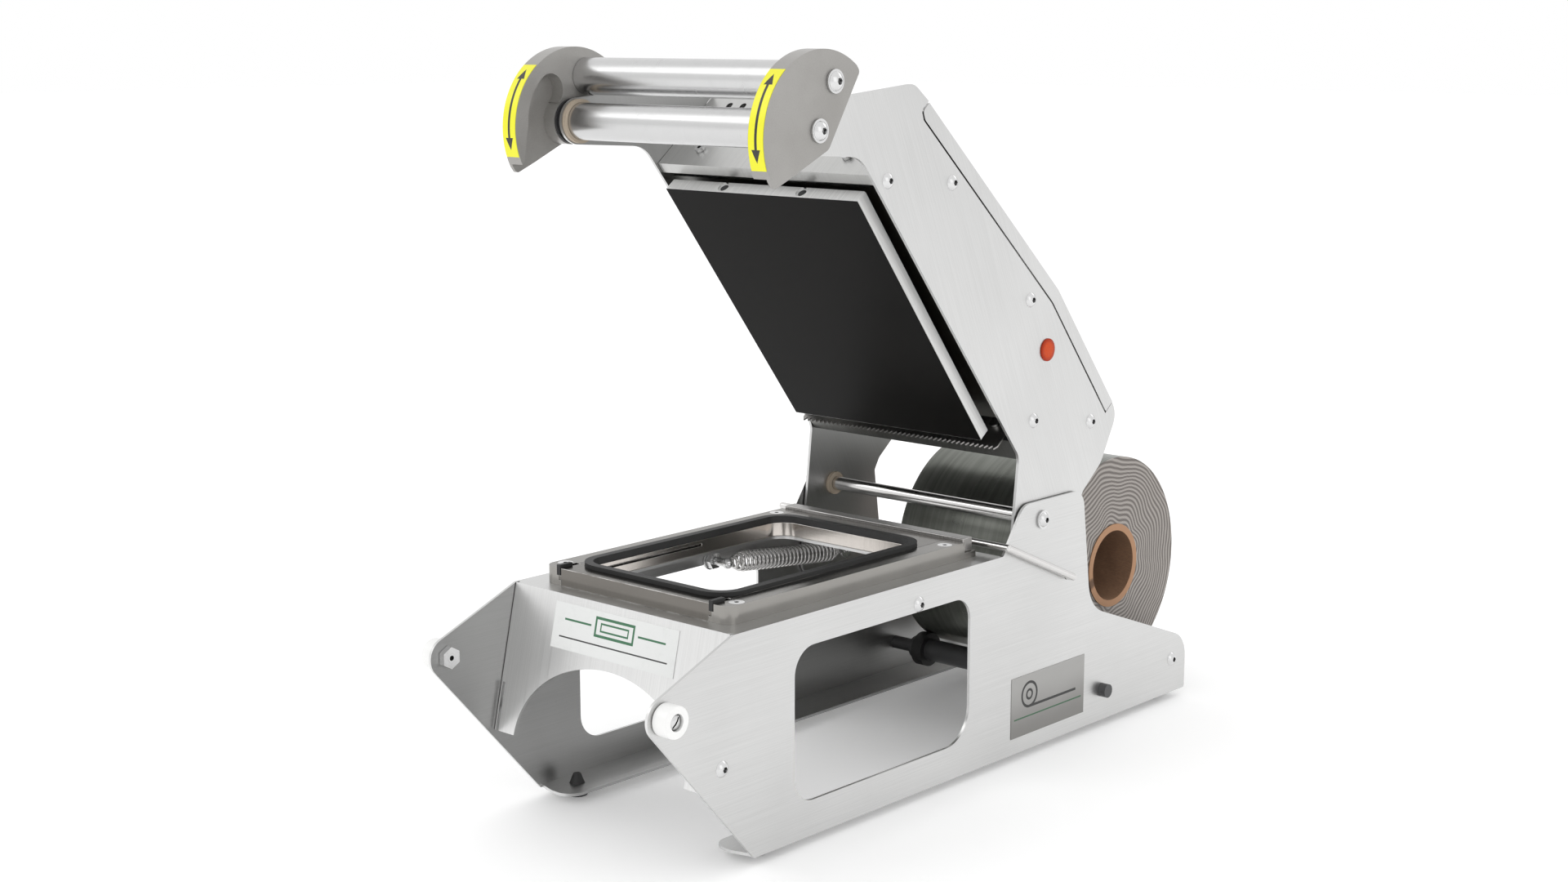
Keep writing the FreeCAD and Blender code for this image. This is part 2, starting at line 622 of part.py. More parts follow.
pad = rounded_block(-80, 80, 6, 208, pad_bottom, pad_bottom + 1.2, 4)
for x, y, _ in pin_places:
    pad = pad.cut(post(x, y, pad_bottom - 1, pad_bottom + 2, pin_hole))
place_plate("insulation_pad", pad)

# ---------------------------------------------------------------- handle, drawn with the level arm


def about_pivot(radius, degrees):
    a = math.radians(degrees)
    return (pivot_y + radius * math.cos(a), pivot_z + radius * math.sin(a))


slot_outer = 36.9
slot_middle = 26.45
slot_half = 10.45
slot_end_angle = -178.3
boss_radius = 15.1

arc_y, arc_z = cheek_arc_centre
arc_disc = rod(cheek_inner_x, cheek_outer_x, arc_y, arc_z, cheek_arc_radius)
cheek_corners = [(-140, 90.2), (-78.2, 89.6, 2.5), (-73.7, 105.3, 30), (-64.8, 139.8, 7), (-82.4, 189.9, 3),
                 (-140, 190.0)]
cheek = arc_disc.common(side_plate(cheek_corners, cheek_inner_x, cheek_outer_x))

ring = tube(cheek_inner_x - 1, cheek_floor_x, pivot_y, pivot_z, slot_outer, boss_radius)
far_left = about_pivot(90, slot_end_angle)
far_down = about_pivot(90, -100)
sector = side_plate([(pivot_y, pivot_z), far_left, about_pivot(120, -140), far_down],
                    cheek_inner_x - 1, cheek_floor_x)
end_y, end_z = about_pivot(slot_middle, slot_end_angle)
pocket = rod(cheek_inner_x - 1, cheek_floor_x, end_y, end_z, slot_half)
mouth = side_plate([about_pivot(slot_outer, -128), (-86.0, 92.9, 1.5), (-84.6, 86.0), (-40, 80), (-40, 136),
                    (-79.3, 136)], cheek_inner_x - 1, cheek_floor_x)
boss = rod(cheek_inner_x - 2, cheek_outer_x, pivot_y, pivot_z, boss_radius)
recess = joined(ring.common(sector), pocket, mouth).cut(boss)
cheek = cheek.cut(recess)
for y, z in [(pivot_y, pivot_z), (grip_y, grip_z)]:
    cheek = cheek.cut(rod(80, 200, y, z, 4.05))
place_arm("cheek_right", cheek)
place_arm("cheek_left", mirrored(cheek))

tube_end = cheek_inner_x - 0.03
for name, y, z in [("grip_tube", grip_y, grip_z), ("pivot_tube", pivot_y, pivot_z)]:
    place_arm(name, tube(-tube_end, tube_end, y, z, tube_radius, tube_radius - tube_wall))
plugs = []
cheek_screws = []
cheek_washers = []
for y, z in [(pivot_y, pivot_z), (grip_y, grip_z)]:
    plugs.append(tube(80, tube_end - 0.02, y, z, tube_radius - tube_wall - 0.03, 4.05))
    cheek_washers.append(tube(cheek_outer_x + 0.02, cheek_outer_x + 1.6, y, z, 7.2, 4.05))
    cheek_screws.append(button_screw(cheek_outer_x + 1.65, y, z, 5.9, 4.0, 28))
place_arm("tube_plugs", both(group(plugs)))
place_arm("cheek_washers", both(group(cheek_washers)))
place_arm("cheek_screws", both(group(cheek_screws)))
spacer = tube(half_width + 0.3, cheek_inner_x - 0.05, pivot_y, pivot_z, 14.4, tube_radius + 0.04)
place_arm("pivot_spacers", both(spacer))

sticker = tube(cheek_inner_x + 0.4, cheek_outer_x - 0.4, arc_y, arc_z,
               cheek_arc_radius + 0.3, cheek_arc_radius + 0.02)
sticker_keep = side_plate([(arc_y, arc_z), (-170, 140.0), (-140, 70), (-90.6, 86), (-90.6, 92)], 90, 120)
sticker = sticker.common(sticker_keep)
place_arm("arrow_labels", both(sticker))

# ---------------------------------------------------------------- film roll and its rollers

place("film_roll", tube(-roll_half, roll_half, roll_y, roll_z, roll_radius, core_outer + 0.02))
place("film_core", tube(-roll_half - 0.8, roll_half + 0.8, roll_y, roll_z, core_outer, core_inner))
axle = rod(-104, 104, front_axle_y, front_axle_z, 5.0)
support = joined(rod(-76, 76, front_axle_y, front_axle_z, 8.5), axle)
place("support_roller", support)
rubber_ring = tube(61, 70, front_axle_y, front_axle_z, ring_radius - 0.02, 8.52)
place("support_roller_rings", both(rubber_ring))
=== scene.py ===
import json
import math
import random

import bmesh
import bpy
from mathutils import Matrix, Vector


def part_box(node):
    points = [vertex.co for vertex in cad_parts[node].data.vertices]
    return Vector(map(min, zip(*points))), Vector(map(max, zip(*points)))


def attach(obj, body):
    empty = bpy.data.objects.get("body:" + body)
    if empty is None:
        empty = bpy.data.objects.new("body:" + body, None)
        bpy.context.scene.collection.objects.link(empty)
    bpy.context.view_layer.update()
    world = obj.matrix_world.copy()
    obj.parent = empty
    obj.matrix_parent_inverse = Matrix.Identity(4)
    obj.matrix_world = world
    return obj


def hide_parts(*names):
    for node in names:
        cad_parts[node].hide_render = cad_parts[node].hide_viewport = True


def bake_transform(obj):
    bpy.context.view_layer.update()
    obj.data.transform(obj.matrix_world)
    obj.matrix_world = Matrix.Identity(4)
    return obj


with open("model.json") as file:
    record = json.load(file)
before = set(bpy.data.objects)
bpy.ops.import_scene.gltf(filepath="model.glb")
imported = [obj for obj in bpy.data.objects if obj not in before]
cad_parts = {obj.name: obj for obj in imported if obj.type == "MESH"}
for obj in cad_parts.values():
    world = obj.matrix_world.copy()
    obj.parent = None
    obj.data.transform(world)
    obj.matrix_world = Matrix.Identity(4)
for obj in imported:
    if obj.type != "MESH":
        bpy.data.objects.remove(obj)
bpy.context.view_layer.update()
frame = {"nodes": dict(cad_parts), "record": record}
nodes = frame["nodes"]
record = frame["record"]
millimetre = 0.001
print("stage: frame loaded,", len(nodes), "nodes")


def middle(node):
    low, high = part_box(node)
    return (low + high) / 2


rollCentre = middle("film_roll")
frontHook = middle("spring_front_bolt")
rearHook = middle("spring_rear_bolt")
pivotCentre = middle("pivot_tube")
armTilt = math.radians(51.06)          # how far the arm stands up from level


stageSettings = {
    "cameraPlace": (0.9798, -1.1617, 0.5058),
    "azimuth": 42.0,
    "elevation": 10.5,
    "lens": 51.375,
    "floorSize": 30.0,
    "floorGlow": 0.12,
    "worldLevel": 1.0,
    "floorTone": 0.97,
    "aim": (0, 0, 0.2),
    "lamps": {                          # place, size and power
        "keyLight": ((-1.6, -1.8, 2.2), (1.6, 1.6), 9.0),
        "fillLight": ((2.4, -0.6, 1.2), (1.4, 1.8), 3.0),
        "rimLight": ((0.2, 2.4, 1.8), (2.0, 1.0), 4.0),
    },
}


def lookBack(azimuth, elevation):
    a, e = math.radians(azimuth), math.radians(elevation)
    return Vector((math.sin(a) * math.cos(e), -math.cos(a) * math.cos(e), math.sin(e)))


def addCamera():
    bpy.ops.object.camera_add(location=stageSettings["cameraPlace"])
    camera = bpy.context.object
    camera.name = "camera"
    back = lookBack(stageSettings["azimuth"], stageSettings["elevation"])
    camera.rotation_mode = "QUATERNION"
    camera.rotation_quaternion = (-back).to_track_quat("-Z", "Y")
    camera.data.sensor_width = 36.0
    camera.data.lens = stageSettings["lens"]
    camera.data.clip_start = 0.01
    camera.data.clip_end = 100.0
    bpy.context.scene.camera = camera


def addSoftLight(name, place, size, power):
    bpy.ops.object.light_add(type="AREA", location=place)
    lamp = bpy.context.object
    lamp.name = name
    lamp.data.shape = "RECTANGLE"
    lamp.data.size, lamp.data.size_y = size
    lamp.data.energy = power
    lamp.rotation_mode = "QUATERNION"
    lamp.rotation_quaternion = (Vector(stageSettings["aim"]) - Vector(place)).to_track_quat("-Z", "Y")


class Wire:
    # an output socket that can be added, multiplied and compared
    def __init__(self, look, socket):
        self.look, self.socket = look, socket

    def math(self, operation, other=0.0, swapped=False):
        first, second = (other, self) if swapped else (self, other)
        return self.look.add("ShaderNodeMath", {"operation": operation}, {0: first, 1: second})

    def __add__(self, other):
        return self.math("ADD", other)

    __radd__ = __add__

    def __sub__(self, other):
        return self.math("SUBTRACT", other)

    def __rsub__(self, other):
        return self.math("SUBTRACT", other, True)

    def __mul__(self, other):
        return self.math("MULTIPLY", other)

    __rmul__ = __mul__

    def __truediv__(self, other):
        return self.math("DIVIDE", other)

    def __lt__(self, other):
        return self.math("LESS_THAN", other)

    def __gt__(self, other):
        return self.math("GREATER_THAN", other)

    def __abs__(self):
        return self.math("ABSOLUTE")

    def __pow__(self, other):
        return self.math("POWER", other)

    def sine(self):
        return self.math("SINE")


class Look:
    # a material and the few kinds of node that all finishes share
    def __init__(self, name, **constants):
        self.material = bpy.data.materials.new(name)
        self.material.use_nodes = True
        self.tree = self.material.node_tree
        self.shader = self.tree.nodes["Principled BSDF"]
        for socket, value in constants.items():
            self.shader.inputs[socket.replace("_", " ")].default_value = value

    def feed(self, socket, value):
        if isinstance(value, Wire):
            self.tree.links.new(value.socket, socket)
        else:
            socket.default_value = value

    def add(self, kind, settings=None, sockets=None, output=0):
        node = self.tree.nodes.new(kind)
        for key, value in (settings or {}).items():
            setattr(node, key, value)
        for key, value in (sockets or {}).items():
            self.feed(node.inputs[key], value)
        return Wire(self, node.outputs[output])

    def place(self):
        return self.add("ShaderNodeTexCoord", output="Object")

    def axes(self, vector=None):
        split = self.add("ShaderNodeSeparateXYZ", {}, {0: vector or self.place()})
        return [Wire(self, socket) for socket in split.socket.node.outputs]

    def grain(self, turn, sizes, detail=3.0, roughness=0.6):
        spread = self.add("ShaderNodeMapping", {"vector_type": "TEXTURE"},
                          {"Vector": self.place(), "Rotation": (turn, 0, 0), "Scale": sizes})
        return self.add("ShaderNodeTexNoise", {}, {"Vector": spread, "Scale": 1.0, "Detail": detail,
                                                   "Roughness": roughness})

    def noise(self, size, detail=2.0, roughness=0.5):
        return self.add("ShaderNodeTexNoise", {}, {"Vector": self.place(), "Scale": 1.0 / size,
                                                   "Detail": detail, "Roughness": roughness})

    def smooth(self, value, low, high):
        return self.add("ShaderNodeMapRange", {"interpolation_type": "SMOOTHSTEP"},
                        {"Value": value, "From Min": low, "From Max": high})

    def blend(self, factor, first, second):
        return self.add("ShaderNodeMix", {"data_type": "RGBA"}, {"Factor": factor, 6: first, 7: second}, 2)

    def shadeOcclusion(self, distance):
        # painted shade from ambient occlusion: 1 in the open, less inside sockets and slots and where a head
        # meets its sheet
        return self.add("ShaderNodeAmbientOcclusion", {"only_local": False, "samples": 8},
                        {"Distance": distance}, "AO")

    def edgeWearAndHighlight(self, size):
        # patchy rubbing and painted highlight on the rounded edges that softened() marks
        edge = self.add("ShaderNodeAttribute", {"attribute_name": "brokenEdge"}, output="Fac")
        return edge * self.smooth(self.noise(size, 4.0, 0.7), 0.35, 0.65)

    def set(self, **links):
        for socket, value in links.items():
            self.feed(self.shader.inputs[socket.replace("_", " ")], value)

    def bump(self, height, strength, distance):
        self.set(Normal=self.add("ShaderNodeBump", {}, {"Height": height, "Strength": strength,
                                                        "Distance": distance}))


def rgb(r, g, b):
    return (r, g, b, 1.0)


def scaled(colour, share):
    return rgb(*[min(1.0, c * share) for c in colour])


def brushedSheet(name, turn, light, dark, roughness, longSize=0.09, fineSize=0.0007, innerShade=0.66,
                 frontLightShade=1.0, metal=1.0):
    # brush lines run along the turned Y on side faces and down the slope elsewhere;
    # inner faces get painted shade, a darker colour and a little more roughness, and faces towards the front
    # are
    # scaled by a front factor: painted light above one, painted shade below one
    look = Look(name, Metallic=metal)
    side = look.grain(turn, (1.0, longSize, fineSize))
    flat = look.grain(turn, (fineSize, longSize, longSize))
    facing, towardsRear = look.axes(look.add("ShaderNodeNewGeometry", output="Normal"))[:2]
    onSide = look.smooth(abs(facing), 0.4, 0.6)
    streaks = side * onSide + flat * (1 - onSide)
    cloud = look.noise(0.11, 3.0)
    smudge = look.smooth(look.noise(0.03, 4.0, 0.65), 0.55, 0.8)
    tone = look.smooth(streaks * 0.6 + cloud * 0.4, 0.25, 0.75)
    inner = look.smooth(facing * look.axes()[0] * -1000, 20.0, 60.0)
    outerColour = look.blend(tone, rgb(*dark), rgb(*light))
    # painted shade on inner faces; painted light or painted shade on faces towards the front
    innerPaintedShadeColour = look.blend(tone, scaled(dark, innerShade), scaled(light, innerShade))
    frontPaintedColour = look.blend(tone, scaled(dark, frontLightShade), scaled(light, frontLightShade))
    onFront = look.smooth(towardsRear * -1, 0.7, 0.9)
    look.set(Base_Color=look.blend(inner, look.blend(onFront, outerColour, frontPaintedColour), innerPaintedShadeColour),
             Roughness=roughness + inner * 0.04 + (streaks - 0.5) * 0.2
             + smudge * 0.05 + (cloud - 0.5) * 0.08)
    look.bump(streaks, 0.07, 0.0004)
    return look.material


def polished(name, colour, roughness, lineSize=0.0006, turnedAlong=True):
    # drawn or turned bright metal: faint rings round X, a few rubbed patches, and painted shade in sockets
    # and where a head meets its sheet
    look = Look(name, Metallic=1.0)
    sizes = (lineSize, 0.05, 0.05) if turnedAlong else (0.05, lineSize, 0.05)
    lines = look.grain(0.0, sizes)
    patch = look.smooth(look.noise(0.012, 4.0, 0.7), 0.52, 0.75)
    body = look.blend(patch * 0.3 + lines * 0.4, scaled(colour, 1.04), scaled(colour, 0.88))
    # painted shade: near black in sockets, slots and where a part meets its neighbour
    hollowShade = look.smooth(1 - look.shadeOcclusion(0.003), 0.25, 0.7)
    look.set(Base_Color=look.blend(hollowShade * 0.92, body, rgb(0.02, 0.02, 0.02)),
             Roughness=roughness + lines * 0.06 + patch * 0.03)
    look.bump(lines, 0.015, 0.0001)
    return look.material


def machined(name, light, dark, roughness, well=None):
    # milled aluminium: long feed lines along Y and across X, worn along the edges, with a painted highlight
    # there too
    look = Look(name, Metallic=1.0, Specular_Tint=rgb(0.8, 0.8, 0.8))
    feed = look.grain(0.0, (0.0006, 0.03, 0.02))
    across = look.grain(0.0, (0.05, 0.0008, 0.0008))
    cloud = look.noise(0.05, 3.0)
    tone = look.smooth(feed * 0.45 + across * 0.15 + cloud * 0.4, 0.2, 0.8)
    body = look.blend(tone, rgb(*dark), rgb(*light))
    if well:                                            # brighter finished walls of the tray opening
        x, y = look.axes()[:2]
        body = look.blend(rectangle(x, y, well["centre"], well["half"]), body, rgb(*well["colour"]))
    # the rounded edges turn paler: wear and painted highlight
    look.set(Base_Color=look.blend(look.edgeWearAndHighlight(0.02) * 0.7, body, rgb(0.80, 0.79, 0.77)),
             Roughness=roughness + (feed - 0.5) * 0.2 + (cloud - 0.5) * 0.1)
    look.bump(feed * 0.6 + across * 0.4, 0.08, 0.0003)
    return look.material


def moulded(name, colour, roughness, bumpSize=0.0005, bumpStrength=0.15, variation=0.25, **constants):
    # plastic, rubber or paint: a fine skin, slow colour changes and dusty, rubbed places
    look = Look(name, **constants)
    skin = look.noise(bumpSize, 3.0, 0.6)
    cloud = look.noise(0.02, 4.0, 0.6)
    dust = look.smooth(look.noise(0.006, 5.0, 0.7), 0.5, 0.8)
    pale = [min(1.0, c * (1 + variation) + 0.01) for c in colour]
    look.set(Base_Color=look.blend(cloud * 0.6 + dust * 0.4, rgb(*colour), rgb(*pale)),
             Roughness=roughness + (cloud - 0.5) * 0.12 + dust * 0.08)
    look.bump(skin, bumpStrength, 0.0002)
    return look.material


def cheekPaint(name):
    # satin warm-grey blasted metal
    look = Look(name, Metallic=0.55, Coat_Weight=0.12)
    grit = look.noise(0.0009, 4.0, 0.65)
    cloud = look.noise(0.035, 3.0)
    body = look.blend(look.smooth(grit * 0.4 + cloud * 0.6, 0.3, 0.7),
                      rgb(0.315, 0.305, 0.29), rgb(0.375, 0.365, 0.35))
    # the rounded edges turn paler: wear and painted highlight
    look.set(Base_Color=look.blend(look.edgeWearAndHighlight(0.015) * 0.6, body, rgb(0.66, 0.65, 0.63)),
             Roughness=0.36 + (grit - 0.5) * 0.18 + (cloud - 0.5) * 0.08)
    look.bump(grit, 0.10, 0.0002)
    return look.material


def arrowVinyl(name):
    # yellow strip round the cheek rim with a black double arrow along its middle
    arrow = {"lineHalf": 1.0, "headHalf": 3.4, "headLength": 8.0, "half": 27.5, "rimMiddle": 106.25,
             "rimRadius": 51.5, "rimOffset": (0, 5.7, 0.4),    # rim centre from the pivot, with the arm level
             "middleAngle": math.radians(15.8)}                # above the forward horizontal
    look = Look(name, Coat_Weight=0.3, Coat_Roughness=0.2)
    x, y, z = look.axes()
    centre = pivotCentre + Matrix.Rotation(-armTilt, 3, "X") @ (Vector(arrow["rimOffset"]) * millimetre)
    angle = (z - centre.z).math("ARCTAN2", (centre.y - y))
    along = abs((angle - arrow["middleAngle"]) * arrow["rimRadius"])
    across = abs(abs(x) * 1000 - arrow["rimMiddle"])
    line = (across < arrow["lineHalf"]) * (along < arrow["half"] - 2)
    slope = arrow["headHalf"] / arrow["headLength"]
    head = (across < (arrow["half"] - along) * slope) * (along > arrow["half"] - arrow["headLength"])
    mark = line.math("MAXIMUM", head)
    scuff = look.smooth(look.noise(0.004, 5.0, 0.7), 0.5, 0.85)
    cloud = look.noise(0.03, 2.0)
    yellow = look.blend(scuff * 0.5 + cloud * 0.3, rgb(0.86, 0.84, 0.0), rgb(0.72, 0.68, 0.02))
    look.set(Base_Color=look.blend(mark, yellow, rgb(0.012, 0.012, 0.01)),
             Roughness=0.38 + scuff * 0.15 + mark * 0.05)
    look.bump(look.noise(0.0008, 3.0), 0.08, 0.0001)
    return look.material


def rectangle(u, v, centre, half):
    return (abs(u - centre[0]) < half[0]) * (abs(v - centre[1]) < half[1])


def ring(u, v, centre, radius, half, stretch):
    across = (u - centre[0]) * stretch
    up = v - centre[1]
    reach = (across * across + up * up) ** 0.5
    return abs(reach - radius) < half


def frontLabelPrint(name):
    # white sticker: a plain tray sign over one rule
    sign = {"trayOuter": (0.16, 0.22), "trayInner": (0.145, 0.16), "wellOuter": (0.115, 0.10),
            "wellInner": (0.105, 0.06), "middle": (0.5, 0.66), "barHalf": (0.11, 0.022),
            "ruleMiddle": (0.5, 0.27), "ruleHalf": (0.44, 0.016)}      # shares of the label
    look = Look(name, Coat_Weight=0.25, Coat_Roughness=0.15)
    low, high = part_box("front_label")
    x, _, z = look.axes()
    u = (x - low.x) / (high.x - low.x)
    v = (z - low.z) / (high.z - low.z)
    middleOfSign = sign["middle"]
    tray = rectangle(u, v, middleOfSign, sign["trayOuter"]) - rectangle(u, v, middleOfSign, sign["trayInner"])
    well = rectangle(u, v, middleOfSign, sign["wellOuter"]) - rectangle(u, v, middleOfSign, sign["wellInner"])
    rule = rectangle(u, v, sign["ruleMiddle"], sign["ruleHalf"])
    bars = rectangle(u, v, (0.20, 0.66), sign["barHalf"]) + rectangle(u, v, (0.80, 0.66), sign["barHalf"])
    soil = look.smooth(look.noise(0.01, 4.0, 0.7), 0.5, 0.9)
    paper = look.blend(soil, rgb(0.75, 0.76, 0.75), rgb(0.66, 0.67, 0.66))
    printed = look.blend(tray + well + bars, paper, rgb(0.035, 0.15, 0.07))
    look.set(Base_Color=look.blend(rule, printed, rgb(0.03, 0.03, 0.03)), Roughness=0.34 + soil * 0.12)
    look.bump(look.noise(0.0012, 3.0), 0.05, 0.0001)
    return look.material


def sideLabelPrint(name):
    # grey sticker: a plain roll sign over one rule
    look = Look(name, Metallic=0.3, Coat_Weight=0.2, Coat_Roughness=0.2)
    low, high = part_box("side_label")
    _, y, z = look.axes()
    u = (y - low.y) / (high.y - low.y)
    v = (z - low.z) / (high.z - low.z)
    stretch = (high.y - low.y) / (high.z - low.z)
    roll = ring(u, v, (0.24, 0.66), 0.20, 0.022, stretch)
    core = ring(u, v, (0.24, 0.66), 0.075, 0.02, stretch)
    web = rectangle(u, v, (0.56, 0.46), (0.32, 0.022))
    rule = rectangle(u, v, (0.5, 0.30), (0.46, 0.012))
    cloud = look.noise(0.03, 3.0)
    # painted light: the paper is darker at the bottom and lighter towards the top
    paper = look.blend(look.smooth(v + cloud * 0.2, 0.1, 1.0), rgb(0.20, 0.195, 0.185),
                       rgb(0.36, 0.355, 0.345))
    printed = look.blend(roll + core + web, paper, rgb(0.02, 0.02, 0.02))
    look.set(Base_Color=look.blend(rule, printed, rgb(0.03, 0.11, 0.05)), Roughness=0.36 + cloud * 0.1)
    look.bump(look.noise(0.0012, 3.0), 0.05, 0.0001)
    return look.material


def woundFilm(name):
    # wound sealing film: rings that swing in and out round the ends, a soft silver sheen round the roll
    look = Look(name)
    ends = (69.2, 69.7)                                 # from the middle, where the end faces begin
    x, y, z = look.axes()
    up = z - rollCentre.z
    away = y - rollCentre.y
    reach = (up * up + away * away) ** 0.5 * 1000
    drift = look.noise(0.03, 2.0)
    angle = up.math("ARCTAN2", away)
    swing = (angle * 9.0 + drift * 3.0).sine() * 3.2 + (angle * 4.0 + reach * 0.12).sine() * 2.4
    rings = (reach * 1.9 + swing).sine()
    fine = (reach * 7.3 - swing * 0.6).sine()
    moire = look.smooth(rings * 0.8 + fine * 0.4, -0.8, 0.8)
    onEnd = look.smooth(abs(x) * 1000, *ends)
    endColour = look.blend(moire, rgb(0.115, 0.10, 0.09), rgb(0.37, 0.34, 0.315))
    band = look.grain(0.0, (0.004, 0.25, 0.25))
    sheen = look.noise(0.06, 3.0)
    roundColour = look.blend(look.smooth(band * 0.5 + sheen * 0.5, 0.3, 0.7),
                             rgb(0.125, 0.13, 0.115), rgb(0.235, 0.245, 0.22))
    look.set(Base_Color=look.blend(onEnd, roundColour, endColour),
             Roughness=0.24 + onEnd * 0.2 + sheen * 0.08, Metallic=0.75 - onEnd * 0.55)
    look.bump(moire * onEnd * 0.5 + band * (1 - onEnd) * 0.5, 0.12, 0.0003)
    return look.material


def woundCard(name):
    # brown card tube with its spiral seam
    look = Look(name)
    mouth = (70.3, 70.6)                                # from the middle, the paler cut ends
    x, y, z = look.axes()
    angle = (z - rollCentre.z).math("ARCTAN2", y - rollCentre.y)
    seam = (x * 62.0 + angle).sine()
    joint = look.smooth(seam, 0.985, 0.999)
    fibre = look.grain(0.0, (0.003, 0.0006, 0.0006), 4.0, 0.7)
    cloud = look.noise(0.02, 3.0)
    card = look.blend(look.smooth(fibre * 0.6 + cloud * 0.4, 0.3, 0.7), rgb(0.17, 0.095, 0.055),
                      rgb(0.27, 0.155, 0.09))
    rim = look.smooth(abs(x) * 1000, *mouth)
    card = look.blend(rim * 0.85, card, rgb(0.44, 0.24, 0.13))
    look.set(Base_Color=look.blend(joint, card, rgb(0.14, 0.075, 0.04)), Roughness=0.72 + (fibre - 0.5) * 0.2)
    look.bump(fibre - joint * 0.6, 0.2, 0.0003)
    return look.material


def coatedCloth(name):
    # black non-stick glass cloth: a fine square weave under a slick coat
    look = Look(name, Specular_IOR_Level=0.06)
    x, y, z = look.axes()
    threads = 5200.0                                    # of the wave, in radians to a metre
    down = z * 0.79 - y * 0.61                          # down the slope of the plate
    weave = (x * threads).sine() * (down * threads).sine()
    cloud = look.noise(0.05, 3.0)
    mark = look.smooth(look.noise(0.008, 5.0, 0.7), 0.55, 0.8)
    look.set(Base_Color=look.blend(cloud * 0.6 + mark * 0.4, rgb(0.004, 0.004, 0.004),
                                   rgb(0.011, 0.010, 0.009)),
             Roughness=0.34 + mark * 0.12 + (cloud - 0.5) * 0.12)
    look.bump(weave * 0.5 + mark * 0.3, 0.06, 0.0001)
    return look.material


def signalLens(name):
    # orange-red lens, paler at its middle
    look = Look(name, Coat_Weight=0.05, Coat_Roughness=0.08, Specular_IOR_Level=0.16)
    y, z = look.axes()[1:]
    lamp = middle("indicator_lamp")
    reach = (((y - lamp.y) * (y - lamp.y)) + ((z - lamp.z) * (z - lamp.z))) ** 0.5 * 1000
    rib = (reach * 6.0).sine()
    edge = look.smooth(reach, 4.0, 7.5)
    cloud = look.noise(0.004, 3.0)
    look.set(Base_Color=look.blend(edge * 0.8 + cloud * 0.2, rgb(0.58, 0.060, 0.002),
                                   rgb(0.34, 0.022, 0.001)),
             Roughness=0.22 + cloud * 0.1)
    look.bump(rib, 0.15, 0.0002)
    return look.material


def buildMaterials():
    sheetLight, sheetDark = (0.685, 0.685, 0.68), (0.59, 0.59, 0.585)
    trayWell = {"centre": (0.0, -0.1032), "half": (0.0617, 0.0949), "colour": (0.62, 0.58, 0.54)}
    return {
        # painted light on the base sheet's faces towards the front
        "baseSheet": brushedSheet("brushedBaseSheet", 0.0, sheetLight, sheetDark, 0.34, frontLightShade=1.16),
        "armSheet": brushedSheet("brushedArmSheet", -armTilt - math.radians(15), sheetLight, sheetDark, 0.34),
        # the arm sheet made darker for the front wall: painted shade
        "shadedWallSheet": brushedSheet("brushedWallShaded", -armTilt, (0.60, 0.60, 0.59), (0.50, 0.50, 0.49), 0.34),
        # the brushed sheet made much darker for parts inside the arm: painted shade
        "shadedInnerSheet": brushedSheet("brushedShadedInnerSheet", -armTilt, (0.23, 0.23, 0.22),
                                   (0.17, 0.17, 0.16), 0.36),
        "rubber": moulded("blackRubber", (0.012, 0.012, 0.012), 0.55, 0.0007, 0.2, 0.6),
        "frontLabel": frontLabelPrint("frontLabelPrint"),
        "sideLabel": sideLabelPrint("sideLabelPrint"),
        "mould": machined("milledMould", (0.20, 0.188, 0.172), (0.16, 0.15, 0.137), 0.17, trayWell),
        "rail": machined("milledRail", (0.34, 0.33, 0.31), (0.28, 0.27, 0.255), 0.20),
        "bar": machined("milledBar", (0.46, 0.45, 0.44), (0.37, 0.36, 0.35), 0.30),
        # painted shade on the plate's faces towards the front
        "plate": brushedSheet("brushedPlate", -armTilt, (0.88, 0.88, 0.87), (0.66, 0.66, 0.65), 0.46,
                              0.04, 0.0005, frontLightShade=0.8, metal=0.6),
        "bolt": polished("brightBolt", (0.68, 0.68, 0.68), 0.16),
        "tube": polished("polishedTube", (0.60, 0.60, 0.60), 0.22),
        "rod": polished("polishedRod", (0.70, 0.69, 0.68), 0.14),
        "spring": polished("springWire", (0.58, 0.57, 0.56), 0.18, 0.001, False),
        "blade": polished("groundBlade", (0.36, 0.35, 0.34), 0.32, 0.0008),
        "lens": signalLens("signalLens"),
        "black": moulded("blackPlastic", (0.02, 0.02, 0.022), 0.38, 0.0006, 0.1, 0.5),
        "graphite": moulded("darkRoller", (0.060, 0.060, 0.062), 0.34, 0.0008, 0.08, 0.3, Metallic=0.4),
        "beige": moulded("bearingPlastic", (0.42, 0.35, 0.27), 0.48, 0.0006, 0.1, 0.2),
        "cloth": coatedCloth("coatedCloth"),
        "mica": moulded("micaHeater", (0.16, 0.12, 0.08), 0.6, 0.0008, 0.3, 0.4),
        "cheek": cheekPaint("satinCheek"),
        "arrow": arrowVinyl("arrowVinyl"),
        "film": woundFilm("woundFilm"),
        "card": woundCard("woundCard"),
        "white": moulded("whiteAcetal", (0.86, 0.86, 0.85), 0.30, 0.0009, 0.05, 0.06, Coat_Weight=0.2),
    }


